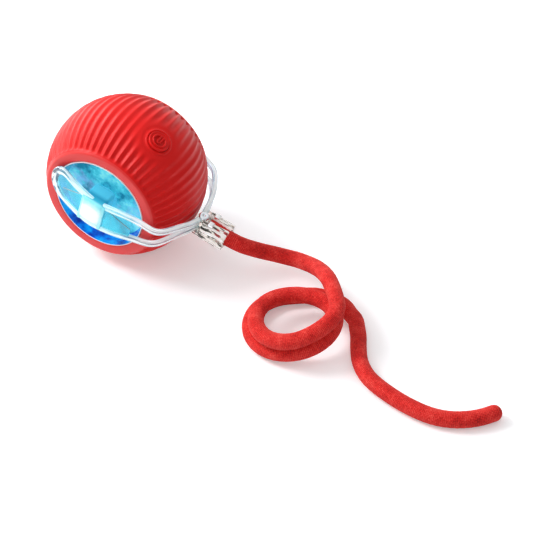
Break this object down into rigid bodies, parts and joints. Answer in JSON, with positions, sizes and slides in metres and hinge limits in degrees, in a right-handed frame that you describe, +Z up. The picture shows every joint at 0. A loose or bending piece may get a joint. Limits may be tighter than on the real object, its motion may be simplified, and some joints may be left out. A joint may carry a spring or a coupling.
{
  "type": "self rolling cat ball",
  "caption": "Motor-driven rolling cat ball: ribbed red silicone sleeve on a clear shell with recessed ends, held in a clear U-shaped yoke that trails a braided cord tail with a loose coil.",
  "frame": {"origin": "spot where the ball rests on the floor, the middle of the small flat that the soft sleeve takes there, under the ball's centre", "axes": "+Z up, +Y along the axis that the ball turns about, towards the end with the charging port, +X towards the tail"},
  "size_m": [0.1678, 0.0539, 0.0517],
  "materials": {
    "silicone": "matt ribbed silicone",
    "clear_shell": "clear polycarbonate lit from inside",
    "clear_yoke": "clear polished polycarbonate",
    "steel": "turned steel",
    "brass": "cut brass",
    "acetal": "natural acetal",
    "black_plastic": "moulded black plastic",
    "board": "solder mask on glass laminate",
    "cell": "foil pouch",
    "lamp": "lit lamp lens",
    "cord": "braided polyester"
  },
  "bodies": {
    "yoke": {"yoke_left": "clear_yoke", "yoke_right": "clear_yoke", "clamp_pin": "steel", "drive_axle": "steel", "idle_axle": "steel", "output_gear": "acetal", "tail_cord_lead": "cord", "tail_cord_coil": "cord", "tail_cord_end": "cord"},
    "ball": {"silicone_sleeve": "silicone", "shell_left": "clear_shell", "shell_right": "clear_shell", "gear_pin": "steel", "motor_can": "steel", "charging_port": "steel", "shell_screw_1": "steel", "shell_screw_2": "steel", "shell_screw_3": "steel", "bush_left": "acetal", "bush_right": "acetal", "chassis_plate": "black_plastic", "motor_end_cap": "black_plastic", "tact_switch": "black_plastic", "control_chip": "black_plastic", "circuit_board": "board", "battery": "cell", "led_left_1": "lamp", "led_left_2": "lamp", "led_right_1": "lamp", "led_right_2": "lamp"},
    "button": {"power_button": "silicone", "button_plunger": "acetal"},
    "compound_gear": {"compound_gear": "acetal"},
    "rotor": {"motor_shaft": "steel", "pinion": "brass"}
  },
  "joints": [
    {"name": "ball_spin", "type": "hinge", "parent": "yoke", "child": "ball", "pos_m": [0, 0, 0.02575], "axis": [0, 1, 0], "continuous": true},
    {"name": "compound_spin", "type": "hinge", "parent": "ball", "child": "compound_gear", "pos_m": [-0.01053, 0, 0.02293], "axis": [0, 1, 0], "continuous": true},
    {"name": "rotor_spin", "type": "hinge", "parent": "ball", "child": "rotor", "pos_m": [-0.0068, 0, 0.01269], "axis": [0, 1, 0], "continuous": true},
    {"name": "button_press", "type": "slide", "parent": "ball", "child": "button", "axis": [-0.5664, 0, -0.8241], "range_m": [0, 0.0005], "stiffness_N_per_m": 800, "springref_m": -0.0005}
  ],
  "couplings": [
    {"joint": "compound_spin", "follows": "ball_spin", "ratio": 2},
    {"joint": "rotor_spin", "follows": "ball_spin", "ratio": -4}
  ]
}
